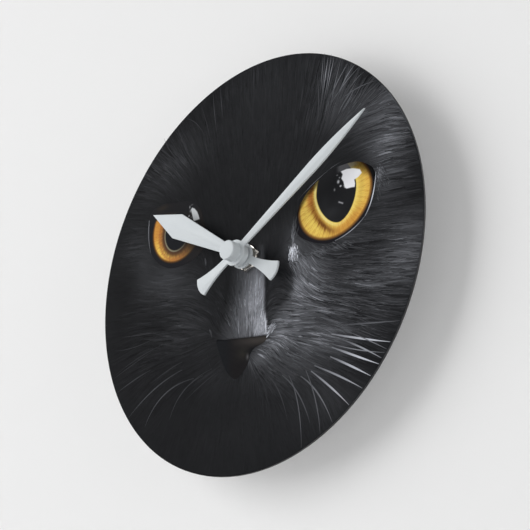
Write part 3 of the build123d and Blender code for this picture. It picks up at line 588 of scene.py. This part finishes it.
def lie_of_coat(x, z):
    """Direction the hairs point: the lie points' unit vectors, weighted by one over distance
    cubed."""
    heading = np.radians(lie_points[:, 2])
    gap = (x[:, None] - lie_points[:, 0]) ** 2 + (z[:, None] - lie_points[:, 1]) ** 2
    weight = (gap + 9.0) ** -1.5
    return np.arctan2(weight @ np.sin(heading), weight @ np.cos(heading))


def ribbons(name, lines, width, screen, lift, finish):
    """Flat strokes on the dial: each line's points are pushed half the width to either side,
    square to the line, and joined by quads. lines is (strokes, points, 2) in millimetres."""
    along = np.gradient(lines, axis=1)
    along /= np.linalg.norm(along, axis=2, keepdims=True) + 1e-9
    side = np.stack([-along[..., 1], along[..., 0]], -1) * (width / 2)[..., None]
    flat = np.stack([lines + side, lines - side], 2)
    depth = np.broadcast_to((dial_face - lift * MM)[:, None, None], flat.shape[:3])
    points = np.stack([flat[..., 0] * MM, depth, flat[..., 1] * MM], -1)
    strokes, steps = lines.shape[:2]
    first = (np.arange(strokes)[:, None] * steps + np.arange(steps - 1)) * 2
    quads = np.stack([first, first + 1, first + 3, first + 2], -1).reshape(-1, 4)
    mesh = bpy.data.meshes.new(name)
    mesh.vertices.add(points.size // 3)
    mesh.vertices.foreach_set("co", np.ascontiguousarray(points, np.float32).ravel())
    mesh.loops.add(quads.size)
    mesh.loops.foreach_set("vertex_index", quads.ravel().astype(np.int32))
    mesh.polygons.add(len(quads))
    mesh.polygons.foreach_set("loop_start", np.arange(0, quads.size, 4, dtype=np.int32))
    mesh.update(calc_edges=True)
    piece = bpy.data.objects.new(name, mesh)
    scene.collection.objects.link(piece)
    set_ink(piece, np.repeat(screen[:, :, None, :], 2, axis=2))
    return on_dial(piece, finish)


def fur(name, in_region, count, shortest, longest):
    """Hairs of one region. Lock centres are drawn evenly over the dial and kept more often where
    the hairs show; each hair starts near its lock's centre and is traced along the lie."""
    per_lock = 6
    locks = count // per_lock
    radius = 101 * np.sqrt(chance.random(locks * 6))
    turn = 2 * np.pi * chance.random(locks * 6)
    x, z = radius * np.cos(turn), radius * np.sin(turn)
    keep = in_region(x, z) & (chance.random(len(x)) < 0.4 + 2.0 * bells(x, z, sheen_patches))
    x, z = x[keep][:locks], z[keep][:locks]
    lean = lie_of_coat(x, z)
    slide = chance.normal(0, 1.8, (per_lock, len(x)))
    spread = chance.normal(0, 0.17, (per_lock, len(x)))
    lock_tone, lock_turn, lock_length, lock_lift = (np.tile(values, per_lock) for values in (
        chance.normal(0, 1, len(x)), chance.normal(0, 0.05, len(x)),
        chance.uniform(shortest, longest, len(x)), chance.uniform(0.020, 0.044, len(x))))
    x = (x + slide * np.cos(lean) - spread * np.sin(lean)).ravel()
    z = (z + slide * np.sin(lean) + spread * np.cos(lean)).ravel()
    length = lock_length * chance.uniform(0.7, 1.1, len(x))
    length = length * (1 - bells(x, z, ((-2, -22, 13, 15, 0.6),)))
    wander = lock_turn + chance.normal(0, 0.025, len(x))
    curl = chance.normal(0, 0.03, len(x))
    points = [np.stack([x, z], -1)]
    for part in range(4):
        here = points[-1]
        heading = lie_of_coat(here[:, 0], here[:, 1]) + wander + curl * part
        points.append(here + (length / 4)[:, None]
                      * np.stack([np.cos(heading), np.sin(heading)], -1))
    lines = np.stack(points, 1)
    lines = lines * np.minimum(1, hair_radius / np.hypot(lines[..., 0], lines[..., 1]))[..., None]
    tone = coat_tone(lines[..., 0], lines[..., 1])
    tone = np.minimum(0.7 * tone + 0.3 * tone[:, 1:2], 1.25 * tone + 3)
    contrast = 0.022 + bells(x, z, sheen_patches)
    stray = np.exp(contrast * (lock_tone + 0.55 * chance.normal(0, 1, len(x)))
                   - 0.6 * contrast ** 2)
    fade = np.array([0.93, 1.0, 1.03, 1.02, 0.98])
    screen = grey(np.clip(tone * stray[:, None] * fade, 26, 215))
    width = chance.uniform(0.17, 0.34, len(x))[:, None] * np.array([0.6, 1.0, 0.95, 0.7, 0.15])
    lift = lock_lift + chance.uniform(0, 0.001, len(x))
    return ribbons(name, lines, width, screen, lift, print_finish)


fur("fur_brow_left", lambda x, z: (x < 0) & (z > 12), 15000, 7, 15)
fur("fur_brow_right", lambda x, z: (x >= 0) & (z > 12), 17000, 7, 16)
fur("fur_cheek_left", lambda x, z: (x < -20) & (z <= 12), 13000, 7, 16)
fur("fur_muzzle", lambda x, z: (x >= -20) & (x < 34) & (z <= 12), 17000, 3, 8)
fur("fur_cheek_right", lambda x, z: (x >= 34) & (z <= 12), 17000, 8, 18)

# --- eyes: printed amber irises with a dark slit-round pupil, a mottled brown ring, a wet ---
# --- catch-light and a dark rim ---
def fibres(turn, depth, seed):
    """Radial fibres of an iris: waves of several counts round it, bent a little with depth, and
    mixed; the result runs from about -1 to 1."""
    wave = np.random.default_rng(seed)
    total = np.zeros(np.shape(turn))
    for count in (23, 37, 59, 83, 127, 171):
        total = total + np.sin(count * turn + wave.uniform(0, 6.3)
                               + depth * wave.uniform(-1.2, 1.2)) * wave.uniform(0.2, 0.6)
    return total / 1.3


def right_eye_ink(x, z):
    """Right eye: an ellipse of yellow iris, amber towards its outer right, around a tall pupil."""
    turn = np.radians(8)
    iris_x, iris_z, iris_wide, iris_high = 52.2, 14.4, 21.8, 19.0
    u = (x - iris_x) * np.cos(turn) + (z - iris_z) * np.sin(turn)
    v = -(x - iris_x) * np.sin(turn) + (z - iris_z) * np.cos(turn)
    out = np.hypot(u / iris_wide, v / iris_high)
    pu, pv = (x - 53.2 + 0.09 * (z - 18)) / 11.6, (z - 18) / 15.9
    power = 1.75
    pupil = (np.abs(pu) ** power + np.abs(pv) ** power) ** (1 / power)
    past = (pupil - 1) * 11.5
    around = np.arctan2(z - 16, x - 53)
    grain = fibres(around, past, 3)
    fine = fibres(around * 1.7 + 1, past * 1.5, 4)
    left_low = step(-0.5, 0.35, -np.cos(around + 0.3))
    colour = np.zeros(x.shape + (3,)) + np.array([229, 200, 98.0])
    colour = over(colour, (236, 214, 120), 0.4 * step(0.1, 0.9, grain))
    right = step(56, 70, x - 0.35 * (z - 10))
    colour = over(colour, (206, 158, 74), (0.25 + 0.55 * right) * step(0.74, 0.97, out))
    colour = over(colour, (208, 152, 70),
                  0.8 * step(0.60, 0.84, out) * step(44, 58, x) * step(10, 1, z))
    colour = over(colour, (190, 128, 56), 0.6 * step(0.1, 1.0, fine) * step(0.45, 0.85, out))
    ring = np.exp(-((past - 3.3 - 0.25 * grain) / (1.7 + 0.3 * fine)) ** 2)
    colour = over(colour, (134, 84, 38), np.clip(ring * (0.18 + 0.75 * left_low)
                                                  * (0.95 + 0.25 * grain), 0, 1))
    core = np.exp(-((past - 3.2 - 0.35 * fine) / 0.75) ** 2) * left_low * step(10, 3, z)
    colour = over(colour, (88, 54, 30), 0.75 * core)
    colour = over(colour, (186, 116, 58), 0.6 * np.exp(-((x - 37.4) / 1.9) ** 2
                                                        - ((z - 17.5) / 4.5) ** 2))
    rim = step(0.1, 0.4, past) * (1 - step(1.0, 1.7, past))
    colour = over(colour, (232, 216, 138), rim * (0.3 + 0.6 * left_low))
    colour = over(colour, (116, 80, 44), step(0.915, 0.985, out))
    colour = over(colour, (34, 33, 36), step(0.975, 1.03, out))
    lid = np.interp(x, (29, 30, 33, 36, 42, 50, 58, 66, 72, 76),
                    (9, 14.5, 18.4, 21.6, 25.1, 28, 28.4, 27.2, 23.6, 19.4))
    colour = colour * (0.42 + 0.58 * step(0.0, 3.4 + 3.0 * step(58, 66, x), lid - z))[..., None]
    dark = 1 - step(-0.12, 0.22, past)
    depth = 37 + 9 * np.exp(-((x - 50) / 5) ** 2 - ((z - 8) / 3) ** 2) + 5 * np.exp(
        -((x - 46) / 3) ** 2 - ((z - 14) / 4) ** 2)
    colour = over(colour, grey(depth), dark)
    haze = 0.55 * step(25.2, 27, z) * step(53, 56, x) * (1 - step(62, 68, x))
    colour = over(colour, (120, 120, 124), haze)
    glint = inside(x, z, ((56.2, 26.2), (57.2, 24.4), (56.4, 22.6), (57.6, 20.6), (58.2, 17.6),
                          (59.4, 16.7), (62, 16.4), (64.0, 16.0), (64.3, 17.6), (63.9, 19.6),
                          (66.4, 20.3), (68.2, 21.6), (67.2, 23.6), (63.4, 25.4), (59.6, 26.3)), 0.28)
    colour = over(colour, (229, 230, 234), glint)
    for gx, gz, wide, high, share in ((54.6, 21.6, 0.75, 0.95, 0.85), (55.9, 19.1, 0.6, 0.5, 0.95),
                                      (52.3, 18.4, 0.5, 0.7, 0.5), (55.4, 23.4, 0.5, 0.4, 0.6),
                                      (57.6, 18.6, 0.35, 0.7, 0.35), (54.0, 25.0, 0.5, 0.3, 0.5)):
        colour = over(colour, (205, 207, 212),
                      share * np.exp(-(((x - gx) / wide) ** 2 + ((z - gz) / high) ** 2) ** 1.5))
    t = np.clip((x - 54.8) / 2.0, 0, 1)
    streak = np.exp(-(np.hypot(x - 54.8 - 2.0 * t, z - 11.6 + 1.2 * t) / 0.42) ** 2)
    return over(colour, (190, 190, 196), 0.75 * streak)


right_eye = smooth_loop(((29.0, 6), (29.3, 12), (30.4, 15.8), (33, 19.2), (36, 22.2), (42, 25.8),
                         (50, 28.7), (58, 29), (66, 27.8), (72, 24.3), (75, 21), (75.8, 17),
                         (74.8, 11.5), (72.4, 5.6), (69, 0.7), (65.2, -2.5), (60.5, -4.9), (55, -6.1),
                         (50, -6.4), (44, -5.2), (38, -2.6), (33, 0.4), (30.2, 3.2)), 400)
printed_patch("right_eye_print", right_eye, (53, 13), 100, feature_lift, right_eye_ink, print_finish)


def left_eye_ink(x, z):
    """Left eye: a round iris in half light, yellow low on its left, orange above, fading right."""
    iris_radius = 18.9
    out = np.hypot(x + 48.5, z - 31.5) / iris_radius
    past = (np.hypot((x + 49.5) / 8.5, (z - 29) / 9.9) - 1) * 8.5
    around = np.arctan2(z - 29, x + 49.5)
    grain = fibres(around, past, 8)
    fine = fibres(around * 1.6 + 2, past * 1.4, 9)
    colour = np.zeros(x.shape + (3,)) + np.array([198, 140, 66.0])
    glow = np.exp(-((out - 0.86) / 0.11) ** 2) * np.exp(-((around + 2.42) / 0.62) ** 2)
    colour = over(colour, (232, 196, 92), np.clip(1.25 * glow, 0, 1))
    colour = over(colour, (222, 164, 84), 0.6 * np.exp(-((x + 49) / 6) ** 2 - ((z - 14.6) / 1.6) ** 2))
    colour = over(colour, (178, 104, 52), 0.5 * step(0.2, 1.0, fine))
    ring = step(4.4 + 0.7 * fibres(around, past, 5).clip(-1, 1), 1.2, past)
    colour = over(colour, (70, 50, 42), 0.88 * ring)
    colour = over(colour, (142, 82, 52), 0.5 * np.exp(-((past - 4.2 - 0.5 * grain) / 0.9) ** 2))
    rim = step(0.0, 0.25, past) * (1 - step(0.6, 1.0, past))
    colour = over(colour, (134, 133, 112), 0.9 * rim)
    colour = over(colour, (92, 62, 36), step(0.93, 0.99, out))
    colour = over(colour, (34, 34, 37), step(0.98, 1.03, out))
    fade = step(-54, -31, x + 0.5 * (z - 15))
    colour = over(colour, (40, 38, 38), np.clip(fade, 0, 1))
    colour = over(colour, (34, 35, 38), 1 - step(-0.12, 0.22, past))
    above = step(0, 2.6, z - np.interp(x, (-71, -66, -60, -50, -41), (35, 38, 39, 37.5, 35)))
    colour = over(colour, (36, 36, 38), 0.98 * above)
    colour = over(colour, (62, 54, 44), 0.4 * np.exp(-((x + 61) / 4) ** 2 - ((z - 45) / 1.6) ** 2))
    glint = inside(x, z, ((-40.2, 37.6), (-39.4, 38.5), (-37.6, 37.4), (-35.8, 35.2), (-34.6, 32.6),
                          (-34.0, 30.7), (-37.6, 30.8), (-38.4, 31.4), (-38.9, 33.4),
                          (-39.6, 35.6)), 0.25)
    colour = over(colour, (196, 199, 201), glint)
    for gx, gz, wide, high, share in ((-41.0, 39.2, 0.3, 0.8, 0.8), (-40.6, 37.0, 0.35, 0.9, 0.7),
                                      (-41.5, 34.6, 0.6, 0.5, 0.8), (-40.0, 33.4, 0.3, 0.9, 0.4),
                                      (-39.6, 40.0, 0.9, 0.3, 0.35)):
        colour = over(colour, (190, 192, 196),
                      share * np.exp(-(((x - gx) / wide) ** 2 + ((z - gz) / high) ** 2) ** 1.5))
    return colour


left_eye = smooth_loop(((-70.2, 42), (-71, 34), (-70, 26.6), (-67, 20.3), (-62, 14.9), (-56, 11.2),
                        (-50, 9.8), (-43, 9.8), (-36, 11.2), (-30.5, 15), (-29, 21), (-31, 29),
                        (-33.5, 36), (-38, 41), (-44, 43.4), (-52, 45), (-60, 46.8), (-67, 46)), 360)
printed_patch("left_eye_print", left_eye, (-50, 27), 90, feature_lift, left_eye_ink, print_finish)

# --- nose: near-black leather, printed matt, palest along its top edge, with a damp curl of ---
# --- light on the right nostril ---
nose_outline = smooth_loop(((-21.4, -34.8), (-16, -35.9), (-8, -37.2), (0.9, -38.6), (7, -39.6),
                            (11.4, -40.8), (8.6, -43.2), (3.4, -44.3), (0.6, -46.5), (-0.6, -50),
                            (-3.2, -53.4), (-8.5, -56.4), (-13.4, -53), (-17, -47), (-19.6, -41)), 300)


def nose_ink(x, z):
    """Leather: near-black, browner and paler just below the fur, black in the nostril crease."""
    below = -38.3 - 0.16 * x - z
    colour = np.zeros(x.shape + (3,)) + np.array([35, 34, 35.0])
    colour = over(colour, (60, 57, 55), np.exp(-((below - 2.0) / 2.3) ** 2) * step(-17, 5, x))
    colour = over(colour, (47, 46, 43), 0.8 * np.exp(-((x + 4) / 4) ** 2 - ((z + 45) / 3) ** 2))
    colour = over(colour, (28, 29, 31), 0.8 * np.exp(-((x - 3) / 5) ** 2 - ((z + 44.6) / 0.8) ** 2))
    colour = over(colour, (28, 29, 31), 0.7 * np.exp(-((x - 0.4) / 1.0) ** 2 - ((z + 46.2) / 1.2) ** 2))
    colour = over(colour, (88, 88, 90), 0.8 * np.exp(-((x + 1.2) / 0.8) ** 2 - ((z + 47.6) / 1.3) ** 2))
    colour = over(colour, (34, 35, 37), step(-9, -16, x))
    speck = np.sin(9.1 * x + 3.1 * z) * np.sin(7.3 * z - 4.4 * x) * np.sin(3.3 * x + 8.2 * z)
    return (colour + 1.4 * speck[..., None]) * (0.82 + 0.18 * step(0.0, 0.9, below))[..., None]


printed_patch("nose_print", nose_outline, (-6, -45), 60, feature_lift, nose_ink,
              ink_material("nose_ink", 0.7, 0.02))

# --- whiskers, lashes and lid lines: the palest single hairs, printed last over the coat, each ---
# --- one a stroke that tapers to its tip ---
fine_lines = (
    # start, bend, end, width at the root, tone at the root, tone at the tip
    ((53, -46), (71, -49.5), (86.5, -52.4), 0.55, 74, 92),
    ((49, -49), (66, -55.5), (81, -60.3), 0.75, 120, 190),
    ((55, -53), (66, -59), (76, -66.2), 0.65, 90, 150),
    ((49, -55), (63, -62.5), (74.6, -68.5), 0.8, 110, 190),
    ((48, -59), (60, -66), (70, -72.6), 0.8, 110, 180),
    ((39, -61), (54, -69), (65.4, -77), 0.7, 100, 150),
    ((37, -63), (49, -73), (58, -82.7), 0.75, 110, 160),
    ((31, -64), (42, -72), (48.6, -88.4), 0.6, 90, 105),
    ((34, -62), (41, -77), (41.7, -92), 0.5, 84, 88), ((24, -62), (31, -74), (31, -96.2), 0.45, 78, 92),
    ((20, -61), (31, -70), (36, -86), 0.5, 80, 84), ((12, -60), (19, -66), (23, -82), 0.4, 60, 64),
    ((58, -50), (70, -57), (79, -63), 0.4, 84, 120),
    ((46, -52), (62, -60), (77.8, -64.2), 0.4, 84, 130),
    ((-66, -39), (-78, -41), (-90, -45.4), 0.45, 50, 66),
    ((-44, -40), (-52, -41), (-66, -46), 0.4, 52, 56),
    ((-44, -44), (-64, -47), (-81, -60), 0.55, 60, 72),
    ((-36, -50), (-60, -49), (-69, -67), 0.55, 56, 78),
    ((-30, -50), (-46, -52), (-52, -67), 0.45, 54, 66),
    ((-24, -48), (-40, -50), (-48, -60), 0.35, 50, 58),
    ((-18, -50), (-30, -53), (-42, -60), 0.3, 48, 56),
    ((-60, -21), (-76, -19), (-88, -17), 0.35, 48, 58),
    ((-62, -23), (-78, -26), (-93, -23), 0.35, 46, 54),
    ((-56, -28), (-74, -29), (-92, -36), 0.35, 46, 54),
    ((-66, -30), (-80, -33), (-94, -38), 0.35, 46, 56),
    ((-58, -24), (-66, -18), (-84, -18), 0.3, 46, 54),
    ((46, 62), (50, 76), (52, 88), 0.4, 60, 120), ((44, 56), (47, 74), (48, 90), 0.35, 56, 96),
    ((48, 62), (56, 74), (62, 79), 0.4, 62, 110), ((47, 58), (58, 70), (69, 75), 0.4, 60, 110),
    ((52, 60), (64, 66), (78, 64), 0.4, 60, 96), ((42, 52), (45, 66), (43, 82), 0.3, 54, 80),
    ((50, 58), (53, 70), (58, 84), 0.35, 60, 110), ((-22, 70), (-25, 84), (-26, 98), 0.3, 44, 74),
    ((46, 66), (48, 78), (50, 87), 0.35, 70, 150), ((48, 66), (51, 77), (53.5, 85), 0.35, 66, 140),
    ((54, 64), (61, 74), (66, 77), 0.35, 66, 130), ((45, 70), (46, 80), (47, 88), 0.3, 60, 120),
    ((50, 64), (55, 72), (62, 80), 0.3, 60, 110), ((58, 62), (66, 70), (71, 71), 0.3, 60, 100),
    ((-18, 76), (-20, 88), (-21, 99), 0.3, 44, 72), ((-30, 72), (-36, 86), (-46, 90), 0.3, 46, 62),
    ((-50, 68), (-58, 76), (-61, 84), 0.3, 50, 62), ((-26, 66), (-29, 80), (-34, 92), 0.3, 44, 58),
    ((52, -6.2), (62, -5.4), (69.4, 0.4), 0.42, 120, 150),
    ((69.4, 0.4), (74.8, 6.4), (76.2, 19.4), 0.5, 150, 205),
    ((30, 20), (38, 25.6), (50, 29.6), 0.28, 50, 112),
    ((50, 29.6), (56, 31.4), (63, 31), 0.25, 112, 48),
    ((-70.4, 41), (-71.4, 31), (-68.4, 22.4), 0.6, 118, 96),
    ((11, -39.6), (13, -37.6), (15.4, -36.8), 0.9, 190, 120),
    ((10.6, -41.2), (12.4, -39.6), (14.4, -38.2), 0.7, 200, 110),
    ((-26, -28.4), (-24.6, -30.4), (-24.2, -33), 0.8, 72, 58),
    ((-29.8, 9), (-29.2, 6.8), (-29, 4.6), 0.9, 58, 70),
    ((9.8, -30), (10.1, -35), (10.4, -39.8), 0.7, 150, 205))


def bent(starts, bends, ends, steps=15):
    """Quadratic curves: each point is (1-t)^2 start + 2t(1-t) bend + t^2 end."""
    t = np.linspace(0, 1, steps)[None, :, None]
    starts, bends, ends = (np.array(p, float)[:, None, :] for p in (starts, bends, ends))
    return (1 - t) ** 2 * starts + 2 * t * (1 - t) * bends + t ** 2 * ends


start, bend, end, root, root_tone, tip_tone = (list(column) for column in zip(*fine_lines))
lines = bent(start, bend, end)
along = np.linspace(0, 1, lines.shape[1])
taper = 0.55 + 0.45 * step(0, 0.3, along) - 0.72 * step(0.5, 1, along)
width = 1.15 * np.array(root)[:, None] * taper
tones = np.array(root_tone)[:, None] + (np.array(tip_tone) - np.array(root_tone))[:, None] * step(
    0, 0.6, along)
tones = tones * (1 - 0.25 * step(0.9, 1, along))
hair_lift = whisker_lift + 0.0004 * np.arange(len(lines))
ribbons("whiskers_print", lines, width, grey(tones), hair_lift, print_finish)


def tuft(name, spots):
    """Short pale hairs about spots: x, z, spread across and up, heading, length, tone, count."""
    starts, ends, tones = [], [], []
    for x, z, across, up, heading, length, tone, count in spots:
        turn = np.radians(heading + chance.normal(0, 9, count))
        reach = length * chance.uniform(0.6, 1.2, count)
        root = np.stack([x + across * chance.normal(0, 1, count),
                         z + up * chance.normal(0, 1, count)], -1)
        starts.append(root)
        ends.append(root + reach[:, None] * np.stack([np.cos(turn), np.sin(turn)], -1))
        tones.append(tone * chance.uniform(0.7, 1.15, count))
    starts, ends, tones = np.vstack(starts), np.vstack(ends), np.concatenate(tones)
    middle = (starts + ends) / 2 + chance.normal(0, 0.2, starts.shape)
    lines = bent(starts, middle, ends, 5)
    width = chance.uniform(0.2, 0.4, len(lines))[:, None] * np.array([0.7, 1, 0.9, 0.6, 0.15])
    screen = grey(np.repeat(tones[:, None], 5, 1) * np.array([0.85, 1, 1, 0.95, 0.8]))
    lift = chance.uniform(0.052, 0.060, len(lines))
    return ribbons(name, lines, width, screen, lift, print_finish)


tuft("pale_hairs_print", (
    (78.2, 18.5, 0.8, 1.8, -62, 2.4, 112, 60), (77.4, 13, 0.7, 3.0, -78, 2.6, 82, 50),
    (79.8, 16, 1.1, 3.2, -52, 2.6, 68, 50), (27.0, -3.2, 1.2, 1.5, -80, 2.4, 220, 110),
    (27.6, -5.6, 1.6, 1.6, -72, 4.0, 140, 60), (26.8, 2.2, 0.5, 2.2, 84, 3.2, 120, 40),
    (28.2, 7.0, 0.8, 2.6, 84, 4.0, 78, 30), (31, -9.0, 2.8, 1.8, -58, 9.0, 116, 60),
    (40, -7.6, 6.0, 0.6, -38, 4.0, 84, 80), (52, -9.0, 6.0, 0.6, -28, 4.0, 76, 70),
    (12.8, -38.2, 0.8, 0.9, 34, 3.0, 160, 40), (7.4, -35.5, 1.4, 1.6, 84, 2.6, 176, 50)))

# --- hour hand: punched from thin aluminium sheet, lacquered satin white, pressed on a ---
# --- turned collar that grips the hour wheel's pipe ---
white_lacquer = material("white_lacquer", (0.53, 0.565, 0.585), 0.42, specular=0.35, grain=0.000006,
                         grain_size=0.0006, mottle=0.02)
softened("hour_hand", white_lacquer, "hour_body", 0.00016)
softened("hour_collar", white_lacquer, "hour_body", 0.00006)

# --- minute hand: punched from the same sheet and lacquered alike, longer and slimmer, and ---
# --- pressed by its own collar on the end of the minute arbor ---
softened("minute_hand", white_lacquer, "minute_body", 0.00016)
softened("minute_collar", white_lacquer, "minute_body", 0.00006)

# --- cap: a turned plug, lacquered white, pressed on the end of the shaft in front of the ---
# --- minute hand, its front edge well rounded ---
softened("hand_cap", white_lacquer, "minute_body", 0.00012)
